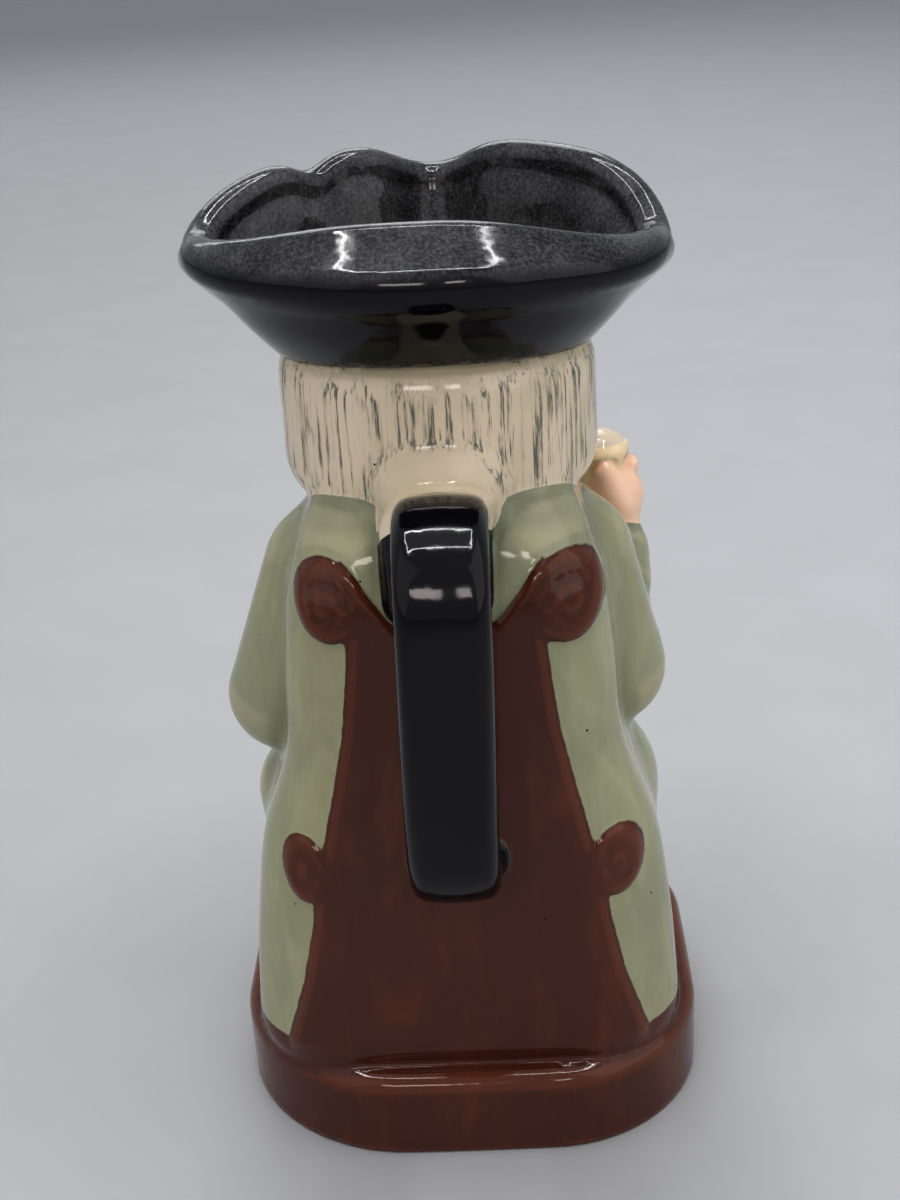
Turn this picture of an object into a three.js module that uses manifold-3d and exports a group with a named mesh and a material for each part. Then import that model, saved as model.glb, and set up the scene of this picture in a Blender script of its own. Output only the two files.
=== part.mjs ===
// Toby jug: a slip-cast, glazed earthenware jug in the form of a seated man in a three-cornered hat.
// The hat's brim is the mouth of the jug, and a strap handle runs from the nape to the back of the chair.
// Millimetres, +Z up. The figure faces -Y and +X is its left. Origin: centre of the flat foot.
import * as THREE from "three";
import { mergeVertices } from "three/addons/utils/BufferGeometryUtils.js";
import Module from "manifold-3d";

const wasm = await Module();
wasm.setup();

// ---- Driving sizes ----
const WALL = 4; // thickness of the cast wall
const FLOOR = 6; // thickness of the jug's floor
const BASE = { halfWidth: 36, halfDepth: 33, height: 13.5, edge: 2.6 };
const BASE_CORNER = { backLeft: 25, backRight: 19.5, front: 21 }; // radii in plan
const HAIR = { halfWidth: 22.6, halfDepth: 20.5, y: -0.5, bottom: 93.6, round: 8 };
const HAT = { footRadius: 21.8, side: 34.8, front: 34.5, panel: 28 }; // brim radii in plan
const FOOT = { side: 116.6, back: 118.8 }; // where the hat starts
const CREST = { back: 137.7, left: 133.1, right: 131.2, front: 135, panel: 139.3 }; // brim's heights
const LIP = { panel: 4, corner: 6.2 }; // thickness of the brim's edge
const HANDLE = { width: 12.6, thickness: 6.2, corner: 2.2 };
const CHAIR = { relief: 0.7, inset: 3 }; // how far the chair back stands out of the coat
const MUG = { x: 9.5, y: -26, low: 53, high: 69, foot: 6.6, rim: 6 };
const BEAKER = { x: -23.7, y: -17.5, low: 80.5, high: 91.6, foot: 3.4, rim: 4.7 };
const COLUMNS = 52; // points round the jug

const V = (x, y, z) => new THREE.Vector3(x, y, z);
const { clamp, lerp, degToRad, smoothstep } = THREE.MathUtils;

// ---- Distance functions: negative inside, in millimetres ----
const egg = (c, rx, ry, rz) => (p) => {
  const [x, y, z] = [(p.x - c.x) / rx, (p.y - c.y) / ry, (p.z - c.z) / rz];
  const near = Math.hypot(x, y, z);
  return (near * (near - 1)) / Math.max(Math.hypot(x / rx, y / ry, z / rz), 1e-6);
};

const limb = (a, b, ra, rb) => {
  const along = b.clone().sub(a);
  return (p) => {
    const h = clamp(p.clone().sub(a).dot(along) / along.lengthSq(), 0, 1);
    return p.distanceTo(a.clone().addScaledVector(along, h)) - lerp(ra, rb, h);
  };
};

const roundedBox = (x, y, halfX, halfY, corner) => {
  const [qx, qy] = [Math.abs(x) - halfX + corner, Math.abs(y) - halfY + corner];
  return Math.hypot(Math.max(qx, 0), Math.max(qy, 0)) + Math.min(Math.max(qx, qy), 0) - corner;
};

// What lies inside a plan outline, from one height to another, with its edges rounded.
const raised = (plan, low, high, edge) => (p) => {
  const [side, rise] = [plan(p) + edge, Math.abs(p.z - (low + high) / 2) - (high - low) / 2 + edge];
  return Math.hypot(Math.max(side, 0), Math.max(rise, 0)) + Math.min(Math.max(side, rise), 0) - edge;
};

const ovalPlan = (x, y, halfX, halfY) => {
  const oval = egg(V(x, y, 0), halfX, halfY, 1e6);
  return (p) => oval(V(p.x, p.y, 0));
};

const blend = (a, b, k) => {
  const h = Math.max(k - Math.abs(a - b), 0) / k;
  return Math.min(a, b) - (h * h * k) / 4;
};

const together = (forms) => (p) => forms.reduce((near, [form, k]) => blend(near, form(p), k), 1e3);

// Smooth value at a height of one column of rows that start with their heights.
const atHeight = (rows, z, column) => {
  const next = rows.findIndex((row) => row[0] > z);
  if (next === 0) return rows[0][column];
  if (next < 0) return rows[rows.length - 1][column];
  const [low, high] = [rows[next - 1], rows[next]];
  return lerp(low[column], high[column], smoothstep(z, low[0], high[0]));
};

// ---- The seated body, cast as one with the chair behind it ----
// Height, half width, front, back and corner radius.
const BODY = [
  [14, 32.9, -15, 30.5, 16],
  [33, 31.7, -15, 29.6, 15],
  [47, 30.0, -17, 28.6, 14],
  [60, 25.0, -18, 27.4, 12],
  [76, 23.5, -16, 26.2, 11],
  [88, 22.0, -12, 25.4, 10.5],
  [94, 20.2, -9, 23.8, 10],
  [99.5, 16.5, -8, 18.0, 10],
];

const bodyPlan = (grow) => (p) => {
  const [half, front, back, corner] = [1, 2, 3, 4].map((column) => atHeight(BODY, p.z, column));
  return roundedBox(p.x, p.y - (front + back) / 2, half, (back - front) / 2, corner) - grow;
};

const basePlan = (p) => {
  const behind = p.x > 0 ? BASE_CORNER.backLeft : BASE_CORNER.backRight;
  return roundedBox(p.x, p.y, BASE.halfWidth, BASE.halfDepth, p.y > 0 ? behind : BASE_CORNER.front);
};

const BELLY = { centre: V(0, -8, 63), rx: 18, ry: 17.5, rz: 19 };

const figure = together([
  [raised(basePlan, -BASE.edge, BASE.height, BASE.edge), 1],
  [raised(bodyPlan(0), BASE.height - 4, 103, 6), 1],
  [egg(BELLY.centre, BELLY.rx, BELLY.ry, BELLY.rz), 6],
  // Open fronts of the coat, from the neck to the lap.
  ...[-1, 1].map((s) => [limb(V(s * 8, -10, 88), V(s * 17, -20, 48), 5, 5), 3]),
  // Upper arms.
  [limb(V(17.5, 3, 84), V(25.6, 2, 63), 9.5, 9), 4],
  [limb(V(-17.8, 3, 84), V(-23.3, 1, 64.5), 9.5, 9), 4],
  // Pocket flaps of the coat's skirts, standing out under the elbows.
  [egg(V(24, -1, 45.5), 7.8, 12, 7), 2],
  [egg(V(-23.6, -2, 44), 7.8, 12, 9), 2],
  // Head.
  [raised(ovalPlan(0, HAIR.y, HAIR.halfWidth, HAIR.halfDepth), HAIR.bottom, FOOT.back + 8, HAIR.round), 1],
  [egg(V(0, 18, 101), 8.6, 5.5, 5.5), 3], // tail of hair over the handle's root
  [egg(V(0, -8, 103.5), 16.4, 14.6, 18.5), 2],
  [egg(V(0, -15.5, 91), 6.5, 5.5, 5), 4], // chin
  ...[-1, 1].map((s) => [egg(V(s * 8.6, -15.6, 98.5), 5.8, 5, 5.4), 3]), // cheeks
  [limb(V(-9, -18.6, 111.4), V(9, -18.6, 111.4), 2.6, 2.6), 3], // brow
]);

// ---- Hat: a bowl that flares to a three-cornered brim ----
// Bearings run from the front, positive towards the figure's left.
const falloff = (distance, width, power) => Math.exp(-((distance / degToRad(width)) ** power));
const fromSide = (bearing) => Math.abs(Math.PI / 2 - Math.abs(bearing));

const brimRadius = (bearing) => {
  const side = falloff(fromSide(bearing), 23, 2);
  const front = falloff(Math.abs(bearing), 13, 2);
  return HAT.panel + (HAT.side - HAT.panel) * side + (HAT.front - HAT.panel) * front;
};

const brimCrest = (bearing) => {
  const ahead = Math.cos(bearing) > 0;
  const side = falloff(fromSide(bearing), ahead ? 17 : 48, 1.4);
  const front = falloff(Math.abs(bearing), 14, 2);
  const wave = 2.2 * falloff(Math.abs(bearing - degToRad(43)), 9, 2); // only in the left brim
  const crest = ahead ? CREST.panel : CREST.back;
  const corner = lerp(CREST.right, CREST.left, clamp(0.5 + bearing, 0, 1));
  return crest - (crest - corner) * side - (CREST.panel - CREST.front) * front - wave;
};

const brimLip = (bearing) => {
  const corner = Math.max(falloff(fromSide(bearing), 22, 2), falloff(Math.abs(bearing), 14, 2));
  return lerp(LIP.panel, LIP.corner, corner);
};

// The sides flare straight out to the corners; the panels swell like a bowl under a rolled lip.
const hatRadius = (bearing, rise) => {
  const corner = falloff(fromSide(bearing), 30, 2);
  const bowl = lerp(Math.sin((rise * Math.PI) / 2) ** 0.8, Math.min(rise / 0.86, 1), corner);
  const waist = 0.9 * (1 - corner) * Math.sin(Math.PI * clamp((rise - 0.35) / 0.55, 0, 1));
  return lerp(HAT.footRadius, brimRadius(bearing), bowl) - waist;
};

const hatFoot = (bearing) => lerp(FOOT.back, FOOT.side, Math.sin(bearing) ** 2);

// The back of the brim flares, turns over at an edge and leans in to its crest. Step by step: how far up the
// front has risen, outer radius at the side and back, height at the side and back, thickness at the side and back.
const BRIM = [
  [0, 22.2, 21.5, FOOT.side, FOOT.back, 4, 4],
  [0.25, 25.9, 24.6, 120.6, 122.4, 4.2, 4.2],
  [0.5, 29.2, 27.6, 124.6, 126.4, 4.6, 5],
  [0.72, 32.6, 29.9, 128.2, 130.2, 5.4, 6.4],
  [0.9, HAT.side, 28.6, 131.2, 134, 6.2, 6],
  [1, 31.6, 24.2, 134, 138.3, 6, 4.6],
];

const backBrim = (bearing, step) => {
  const [, side, back, sideZ, backZ, sideThick, backThick] = BRIM[step];
  const leftward = clamp(0.5 + bearing, 0, 1);
  const share = Math.abs(Math.sin(bearing)) ** lerp(2.2, 3.2, leftward);
  const radius = 1 / Math.hypot(Math.sin(bearing) / side, Math.cos(bearing) / back);
  const droop = 1.8 * (1 - leftward) * clamp((sideZ - 118) / 10, 0, 1);
  return { radius, z: lerp(backZ, sideZ - droop, share), thick: lerp(backThick, sideThick, share) };
};

// ---- Hollow ----
const hollow = together([
  [raised(bodyPlan(-WALL), FLOOR, 97, 7), 1],
  [egg(BELLY.centre, BELLY.rx - WALL, BELLY.ry - WALL, BELLY.rz - WALL), 8],
  [raised(ovalPlan(0, HAIR.y, HAIR.halfWidth - WALL, HAIR.halfDepth - WALL), 80, 147, 4), 10],
]);

// ---- The jug's skin: a lathe whose points are moved out to the forms ----
const outward = (bearing) => V(Math.sin(bearing), -Math.cos(bearing), 0);
const at = (bearing, radius, z) => outward(bearing).multiplyScalar(radius).setZ(z);

// Radius at which a form is met, coming in level from outside.
const radiusOf = (form, bearing, z) => {
  let radius = 48;
  for (let step = 0; step < 200 && radius > 0; step += 1) {
    const gap = form(at(bearing, radius, z));
    if (gap < 0.01) break;
    radius -= Math.max(gap * 0.7, 0.02);
  }
  return Math.max(radius, 0);
};

// A ring is a function from a bearing to a point.
const flatRing = (radius, z) => (bearing) => at(bearing, radius, z);
const formRing = (form, z, share = 1) => (bearing) => at(bearing, share * radiusOf(form, bearing, z), z);
const hollowRing = (z, share = 1) => (bearing) => {
  const limit = radiusOf(figure, bearing, z) - WALL;
  return at(bearing, share * Math.min(radiusOf(hollow, bearing, z), limit), z);
};

const brimRing = (step, inside) => (bearing) => {
  const rise = Math.max(BRIM[step][0], 0.02);
  const thick = inside ? lerp(WALL, brimLip(bearing), rise) * 1.1 : 0;
  const last = step === BRIM.length - 1;
  const ahead = at(
    bearing,
    hatRadius(bearing, rise) - (last ? brimLip(bearing) / 2 : thick),
    lerp(hatFoot(bearing), brimCrest(bearing), rise) + (last ? 0.9 : 0),
  );
  const [before, here, after] = [step - 1, step, step + 1].map((n) =>
    backBrim(bearing, clamp(n, 0, BRIM.length - 1)),
  );
  const along = new THREE.Vector2(after.radius - before.radius, after.z - before.z).normalize();
  const inward = inside ? here.thick * 1.05 : 0;
  const behind = at(bearing, here.radius - inward * along.y, here.z + inward * along.x);
  return ahead.lerp(behind, smoothstep(-Math.cos(bearing), -0.12, 0.3));
};

const steps = (from, to, count) => Array.from({ length: count + 1 }, (_, n) => lerp(from, to, n / count));

const outside = [
  flatRing(0, 0),
  ...[0, 1.2, 11.2, 12.9, 13.6, 20].map((z) => formRing(figure, z)),
  ...steps(30, 90, 16).map((z) => formRing(figure, z)),
  ...steps(92.5, 114, 8).map((z) => formRing(figure, z)),
  (bearing) => at(bearing, radiusOf(figure, bearing, hatFoot(bearing)), hatFoot(bearing) - 0.2),
  ...BRIM.map((_, step) => brimRing(step, false)),
  ...[4, 2, 1].map((step) => brimRing(step, true)),
  flatRing(0, FOOT.side + 4),
];

const cavity = [
  flatRing(0, FLOOR),
  hollowRing(FLOOR + 0.3, 0.92),
  ...[10, 28, 46, 60, 74, 86, 93.5, 97, 106, 115].map((z) => hollowRing(z)),
  (bearing) => at(bearing, hatRadius(bearing, 0.4) - WALL * 1.25, FOOT.side + 9),
  flatRing(0, FOOT.side + 9),
];

const lathe = (places, columns) => {
  const blank = new THREE.LatheGeometry(places.map((_, n) => new THREE.Vector2(1, n)), columns);
  const points = blank.getAttribute("position");
  for (let column = 0; column <= columns; column += 1) {
    const turn = 2 * Math.PI * (column / columns - 0.5);
    const bearing = turn - 0.25 * Math.sin(turn); // closer together over the face
    places.forEach((place, n) => {
      const { x, y, z } = place(column === columns ? -Math.PI : bearing);
      points.setXYZ(column * places.length + n, x, y, z);
    });
  }
  return blank;
};

// ---- Solids set into the skin ----
const SIDES = 10;
const FINE = 6;

const rod = (a, b, ra, rb, sides = SIDES) => {
  const along = b.clone().sub(a);
  const end = (centre, radius, from) => steps(from, from + 90, 2).map((angle) => {
    const turn = degToRad(angle);
    return new THREE.Vector2(Math.max(radius * Math.cos(turn), 0), centre + radius * Math.sin(turn));
  });
  const profile = [...end(0, ra, -90), ...end(along.length(), rb, 0)];
  const tilt = new THREE.Quaternion().setFromUnitVectors(V(0, 1, 0), along.clone().normalize());
  return new THREE.LatheGeometry(profile, sides).applyQuaternion(tilt).translate(a.x, a.y, a.z);
};

const ball = (c, rx, ry, rz, sides = SIDES) =>
  new THREE.SphereGeometry(1, sides, sides / 2).scale(rx, ry, rz).translate(c.x, c.y, c.z);

// A mug brimming with froth.
const frothingMug = ({ x, y, low, high, foot, rim }) => {
  const profile = [[0, low], [foot, low], [foot, low + 1.2], [(foot + rim) / 2 - 0.3, lerp(low, high, 0.5)],
    [rim, high - 0.6], [rim - 0.5, high], [rim - 1.1, high - 0.5], [rim * 0.6, high + 0.9], [0, high + 1.4]];
  return new THREE.LatheGeometry(profile.map(([r, z]) => new THREE.Vector2(r, z)), 16)
    .rotateX(Math.PI / 2)
    .translate(x, y, 0);
};

const leg = (s) => {
  const [hip, knee] = [V(s * 12, 0, 46), V(s * 13, -20, 44.5)];
  const [calf, ankle] = [V(s * 12.6, -21, 33), V(s * 11.6, -19.5, 20)];
  return [
    rod(hip, knee, 10, 8.2),
    rod(knee, calf, 7.4, 6.2),
    rod(calf, ankle, 6, 4.2),
    rod(V(s * 11.6, -17.5, 17.2), V(s * 13.4, -28, 16.2), 4.4, 3.8), // shoe
    ball(V(s * 12.2, -24.2, 20.6), 2.4, 1.6, 1.2), // buckle
  ];
};

const arm = ({ elbow, wrist, palm }) => [
  rod(elbow, wrist, 8, 6),
  rod(elbow.clone().lerp(wrist, 0.72), wrist, 7.4, 7), // turned-back cuff
  rod(wrist, palm, 4.4, 4.8),
];

const handsAndCups = [
  ...arm({ elbow: V(25.6, 1, 62.5), wrist: V(21, -18, 60.5), palm: V(17.5, -25, 61.2) }),
  ...arm({ elbow: V(-23.3, 0, 66), wrist: V(-24.2, -12.5, 77.5), palm: V(-25.6, -15.6, 86) }),
  ...[0, 1, 2, 3].flatMap((n) => [
    rod(V(17.8, -26.4, 65.7 - n * 3), V(10.7, -32.3, 65.2 - n * 3), 1.9, 1.5, FINE),
    rod(V(-27.6, -16.5, 90.6 - n * 2.8), V(-23.2, -22.6, 89.8 - n * 2.8), 1.8, 1.4, FINE),
  ]),
  frothingMug(MUG),
  rod(V(BEAKER.x, BEAKER.y, BEAKER.low), V(BEAKER.x, BEAKER.y, BEAKER.high), BEAKER.foot, BEAKER.rim),
];

const frontOf = (z, x = 0) => {
  const share = 1 - (x / BELLY.rx) ** 2 - ((z - BELLY.centre.z) / BELLY.rz) ** 2;
  return BELLY.centre.y - BELLY.ry * Math.sqrt(share);
};

const faceAndNeck = [
  rod(V(0, -22, 109.5), V(0, -24.8, 101.4), 1.5, 2.3, 8), // nose
  ...[-1, 1].flatMap((s) => [
    ball(V(s * 2, -23.2, 100.6), 1.6, 2, 1.4, FINE), // nostril
    rod(V(s * 3.4, -22.3, 110.9), V(s * 9.4, -20, 110.6), 0.9, 0.8, FINE), // eyebrow
    ball(V(s * 5.9, -20.6, 106.4), 2.7, 1.8, 1.6), // eye
    ball(V(s * 4.4, -19.6, 82.6), 4.6, 3, 3.2), // bow of the neckcloth
  ]),
  rod(V(-3.4, -21.2, 95.9), V(3.4, -21.2, 95.9), 1, 1, FINE), // upper lip
  rod(V(-2.6, -21, 94.3), V(2.6, -21, 94.3), 1.1, 1.1, FINE), // lower lip
  ball(V(0, -13, 84.5), 9.5, 7.5, 5.5),
  ball(V(0, -21.4, 82.6), 2, 2.2, 2.3, 8),
  ...[74.5, 68, 61.5, 55].map((z) => ball(V(0, frontOf(z), z), 1.6, 1.1, 1.6, FINE)), // waistcoat buttons
];

// ---- Chair back: a low-relief panel with scrolled ears, standing out of the coat ----
const EARS = { left: { x: 16, z: 87.4, rx: 4.9, rz: 6.5 }, right: { x: 16.8, z: 86.6, rx: 5.7, rz: 7 } };

const chairOutline = (ear) => {
  const half = new THREE.Shape();
  half.moveTo(0, 12);
  half.lineTo(27.4, 12);
  half.splineThru([[24, 28], [21.6, 40]].map(([x, y]) => new THREE.Vector2(x, y)));
  half.absellipse(25.2, 45.4, 3.6, 5.2, degToRad(200), degToRad(480), false);
  half.splineThru([[19.2, 52], [15.8, 66], [13.5, 80]].map(([x, y]) => new THREE.Vector2(x, y)));
  half.absellipse(ear.x, ear.z, ear.rx, ear.rz, degToRad(250), degToRad(470), false);
  half.splineThru([[10.2, 89], [7, 85], [0, 83.5]].map(([x, y]) => new THREE.Vector2(x, y)));
  return half.getPoints(5);
};

const chairBack = () => {
  const left = chairOutline(EARS.left);
  const right = chairOutline(EARS.right).slice(1, -1).reverse().map(({ x, y }) => new THREE.Vector2(-x, y));
  const outline = new THREE.Shape([...left, ...right]);
  const panel = new THREE.ExtrudeGeometry(outline, { depth: 24, bevelEnabled: false })
    .rotateX(Math.PI / 2)
    .translate(0, 36, 0);
  const proud = (p) => figure(p) - CHAIR.relief;
  const sunk = (p) => figure(p) + CHAIR.inset;
  const around = (form, heights) => heights.map((z) => formRing(form, z));
  const shell = lathe([flatRing(0, 12), ...around(proud, steps(12, 95, 10)), flatRing(0, 95)], COLUMNS);
  const core = lathe([flatRing(0, 11), ...around(sunk, steps(11, 96, 4)), flatRing(0, 96)], COLUMNS / 2);
  return solid(panel).intersect(solid(shell)).subtract(solid(core));
};

// ---- Handle: a strap bent along its line, bedded in the nape and in the chair ----
const strapHandle = () => {
  const line = new THREE.CatmullRomCurve3([
    V(0, 16.5, 98.5), V(0, 26, 100.8), V(0, 37, 101), V(0, 44.3, 96.5), V(0, 46.4, 88),
    V(0, 45.4, 74), V(0, 43.4, 62), V(0, 40.8, 55), V(0, 35.5, 51), V(0, 25.5, 49.6),
  ]);
  const { width, thickness, corner } = HANDLE;
  const [across, deep] = [width / 2 - corner, thickness / 2 - corner];
  const section = new THREE.Shape();
  [[across, deep, 0], [-across, deep, 90], [-across, -deep, 180], [across, -deep, 270]].forEach(
    ([x, y, start]) => section.absarc(x, y, corner, degToRad(start), degToRad(start + 90), false),
  );
  return new THREE.ExtrudeGeometry(section, { steps: 22, curveSegments: 1, extrudePath: line });
};

const handleRoot = () => ball(V(0.4, 22, 93), 7.9, 6.5, 10.5, 16);

// ---- One cast piece ----
const solid = (geometry) => {
  const bare = new THREE.BufferGeometry().setAttribute("position", geometry.getAttribute("position"));
  if (geometry.index) bare.setIndex(geometry.index);
  const merged = mergeVertices(bare, 1e-3);
  return new wasm.Manifold(new wasm.Mesh({
    numProp: 3,
    vertProperties: merged.getAttribute("position").array,
    triVerts: new Uint32Array(merged.index.array),
  }));
};

const asGeometry = (made) => {
  const { vertProperties, triVerts } = made.getMesh();
  const geometry = new THREE.BufferGeometry()
    .setAttribute("position", new THREE.BufferAttribute(vertProperties, 3))
    .setIndex(new THREE.BufferAttribute(triVerts, 1));
  geometry.computeVertexNormals();
  return geometry;
};

const blank = solid(lathe(outside, COLUMNS)).add(chairBack());
const cast = [handleRoot(), strapHandle(), ...handsAndCups, ...faceAndNeck, ...[-1, 1].flatMap(leg)]
  .reduce((whole, piece) => whole.add(solid(piece)), blank)
  .subtract(solid(lathe(cavity, 28)));
// The clay closes over any pocket left between the forms.
const [jug] = cast.decompose().sort((a, b) => b.volume() - a.volume());

const glaze = new THREE.MeshStandardMaterial({ color: 0x6f7558, roughness: 0.15, metalness: 0 });
const tobyJug = new THREE.Mesh(asGeometry(jug), glaze);
tobyJug.name = "toby_jug";

const part = new THREE.Group();
part.add(tobyJug);
export default part;
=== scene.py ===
"""Looks of the toby jug: its glazed, hand-painted skin, the studio and the camera.

The skin is worked out as one smooth distance field in millimetres, in the frame of the CAD part, and then
meshed. The same forms say which paint goes where.
"""
import math
from collections import namedtuple

import bpy
import numpy as np
import openvdb
from mathutils import Matrix, Vector


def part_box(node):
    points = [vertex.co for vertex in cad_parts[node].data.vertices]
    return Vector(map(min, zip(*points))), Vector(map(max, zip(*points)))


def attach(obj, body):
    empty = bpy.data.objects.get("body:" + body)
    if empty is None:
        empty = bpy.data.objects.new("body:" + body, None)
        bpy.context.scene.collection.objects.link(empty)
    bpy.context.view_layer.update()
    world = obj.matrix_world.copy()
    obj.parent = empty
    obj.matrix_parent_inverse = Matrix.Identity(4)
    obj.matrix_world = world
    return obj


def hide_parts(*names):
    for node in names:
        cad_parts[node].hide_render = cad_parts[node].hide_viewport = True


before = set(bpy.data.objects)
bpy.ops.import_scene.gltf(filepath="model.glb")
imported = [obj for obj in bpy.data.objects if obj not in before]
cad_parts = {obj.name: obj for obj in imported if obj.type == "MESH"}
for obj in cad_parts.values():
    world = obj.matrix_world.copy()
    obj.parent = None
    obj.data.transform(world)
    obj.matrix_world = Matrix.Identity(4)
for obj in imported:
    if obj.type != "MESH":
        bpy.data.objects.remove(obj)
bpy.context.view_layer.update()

MM = 0.001
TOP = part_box("toby_jug")[1][2] / MM  # highest point of the brim

# ---- Driving sizes, in millimetres ----
STEP = 0.45  # grid of the distance field
WALL = 4.0
FLOOR = 6.0
RELIEF = 0.6  # how far the chair back stands out of the coat
BASE = dict(half_width=35.75, half_depth=32.8, bulge=1.2, height=13.5, edge=2.6)
BASE_CORNER = dict(back_left=26.0, back_right=23.0, front=21.0)
HAIR = dict(half_width=22.6, half_depth=20.5, front_depth=16.5, y=-0.5, bottom=93.6, round=8.0)
HAT = dict(foot=116.6, foot_back=118.8, side_radius=22.2, foot_radius=21.6, side=34.8, front=34.2,
           panel=28.4, right_shorter=1.1, right_lower=1.8)
CREST = dict(back=TOP - 1.4, left=TOP - 7.2, right=TOP - 8.8, front=TOP - 4.6, panel=TOP - 0.3)
LIP = dict(panel=4.6, corner=5.2)
HANDLE = dict(width=12.3, thickness=6.2, corner=2.0, crown=0.7, lean=0.45)
NECK_INSET = 6.5  # how far the neck lies inside the outline of the hair
UNEVENNESS = 0.1  # of the hand-finished surface
FAR = 30.0  # what the field says before any form is added


# ---- Forms: a distance, negative inside, and the box it fills ----
Form = namedtuple("Form", "distance low high")


def clamp(value, low=0.0, high=1.0):
    return np.minimum(np.maximum(value, low), high)


def lerp(a, b, share):
    return a + (b - a) * share


def ease(value, low, high):
    """0 below low and 1 above high, with a smooth rise between."""
    share = clamp((value - low) / (high - low))
    return share * share * (3 - 2 * share)


def blend(a, b, k):
    """The nearer of two distances, with a fillet about k wide where they meet."""
    h = np.maximum(k - np.abs(a - b), 0) / k
    return np.minimum(a, b) - h * h * k / 4


def egg(centre, rx, ry, rz):
    """An ellipsoid."""
    cx, cy, cz = centre

    def distance(x, y, z):
        u, v, w = (x - cx) / rx, (y - cy) / ry, (z - cz) / rz
        near = np.sqrt(u * u + v * v + w * w)
        slope = np.sqrt((u / rx) ** 2 + (v / ry) ** 2 + (w / rz) ** 2)
        return near * (near - 1) / np.maximum(slope, 1e-6)

    radii = np.array([rx, ry, rz])
    return Form(distance, np.array(centre) - radii, np.array(centre) + radii)


def limb(a, b, ra, rb):
    """A round-ended rod from a to b, with its radius at each end."""
    a, b = np.array(a, float), np.array(b, float)
    along = b - a
    length2 = float(along @ along)

    def distance(x, y, z):
        h = clamp(((x - a[0]) * along[0] + (y - a[1]) * along[1] + (z - a[2]) * along[2]) / length2)
        dx, dy, dz = x - a[0] - h * along[0], y - a[1] - h * along[1], z - a[2] - h * along[2]
        return np.sqrt(dx * dx + dy * dy + dz * dz) - lerp(ra, rb, h)

    reach = max(ra, rb)
    return Form(distance, np.minimum(a, b) - reach, np.maximum(a, b) + reach)


def corner_gap(a, b):
    """Distance to a square corner, from the distances to its two sides."""
    return np.hypot(np.maximum(a, 0), np.maximum(b, 0)) + np.minimum(np.maximum(a, b), 0)


def rounded_box(x, y, half_x, half_y, corner):
    return corner_gap(np.abs(x) - half_x + corner, np.abs(y) - half_y + corner) - corner


def raised(plan, low, high, edge, reach):
    """What lies inside a plan outline from one height to another, with rounded edges."""

    def distance(x, y, z):
        rise = np.abs(z - (low + high) / 2) - (high - low) / 2
        return corner_gap(plan(x, y, z) + edge, rise + edge) - edge

    return Form(distance, np.array([-reach, -reach, low]), np.array([reach, reach, high]))


def both(make):
    """A form on the figure's left and the same on its right."""
    return [make(1), make(-1)]


def soft(forms, k):
    """Forms that all join what is there with the same softness."""
    return [(form, k) for form in forms]


# ---- Body, cast as one with the chair: height, half width, front, back, corner radius ----
BODY = np.array([
    [14, 32.9, -15, 30.5, 16],
    [33, 31.4, -15, 29.6, 15],
    [47, 29.3, -17, 28.6, 14],
    [60, 25.0, -18, 27.4, 12],
    [76, 23.5, -16, 26.2, 11],
    [88, 21.8, -12, 24.8, 10.5],
    [94, 19.9, -9, 22.8, 10],
    [99.5, 17.2, -8, 18.4, 10],
], float)
BODY_SLOPES = np.gradient(BODY, BODY[:, 0], axis=0)


def body_level(z):
    """Half width, front, back and corner radius at a height, on a smooth curve through the rows."""
    row = np.clip(np.searchsorted(BODY[:, 0], z, side="right") - 1, 0, len(BODY) - 2)
    step = BODY[row + 1, 0] - BODY[row, 0]
    t = clamp((z - BODY[row, 0]) / step)
    ends = (1 + 2 * t) * (1 - t) ** 2, t * t * (3 - 2 * t)
    slopes = step * t * (1 - t) ** 2, step * t * t * (t - 1)
    return [ends[0] * BODY[row, c] + ends[1] * BODY[row + 1, c]
            + slopes[0] * BODY_SLOPES[row, c] + slopes[1] * BODY_SLOPES[row + 1, c] for c in (1, 2, 3, 4)]


def body_plan(grow=0.0):
    """Outline of the body, moved outwards by grow."""
    def plan(x, y, z):
        half, front, back, corner = body_level(z)
        return rounded_box(x, y - (front + back) / 2, half, (back - front) / 2, corner) - grow
    return plan


def base_plan(x, y, z):
    """Outline of the foot, which bulges a little behind."""
    behind = np.where(x > 0, BASE_CORNER["back_left"], BASE_CORNER["back_right"])
    corner = np.where(y > 0, behind, BASE_CORNER["front"])
    bulge = BASE["bulge"] * np.maximum(1 - (x / BASE["half_width"]) ** 2, 0) * ease(y, 0, 20)
    return rounded_box(x, y - bulge, BASE["half_width"], BASE["half_depth"], corner)


def hair_plan(grow=0.0):
    """An oval, flatter in front, where the face comes out of it."""
    def plan(x, y, z):
        dy = y - HAIR["y"]
        depth = np.where(dy < 0, HAIR["front_depth"], HAIR["half_depth"]) + grow
        u, v = x / (HAIR["half_width"] + grow), dy / depth
        near = np.sqrt(u * u + v * v)
        slope = np.sqrt((u / (HAIR["half_width"] + grow)) ** 2 + (v / depth) ** 2)
        return near * (near - 1) / np.maximum(slope, 1e-6)
    return plan


BELLY = dict(centre=(0, -8, 63), rx=18.0, ry=17.5, rz=19.0)


def belly_front(z):
    """How far forward the belly reaches at a height, on the middle line."""
    _, cy, cz = BELLY["centre"]
    share = 1 - ((z - cz) / BELLY["rz"]) ** 2
    return cy - BELLY["ry"] * math.sqrt(max(share, 0))


# ---- The figure, group by group. Each entry is a form and how softly it joins what is there. ----
MUG = dict(x=9.5, y=-26.0, low=53.0, high=69.0, foot=6.5, rim=6.0)
BEAKER = dict(x=-23.7, y=-17.5, low=77.4, high=94.2, foot=3.4, rim=4.5)
EYE = dict(x=6.1, y=-20.0, z=106.2)


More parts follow.
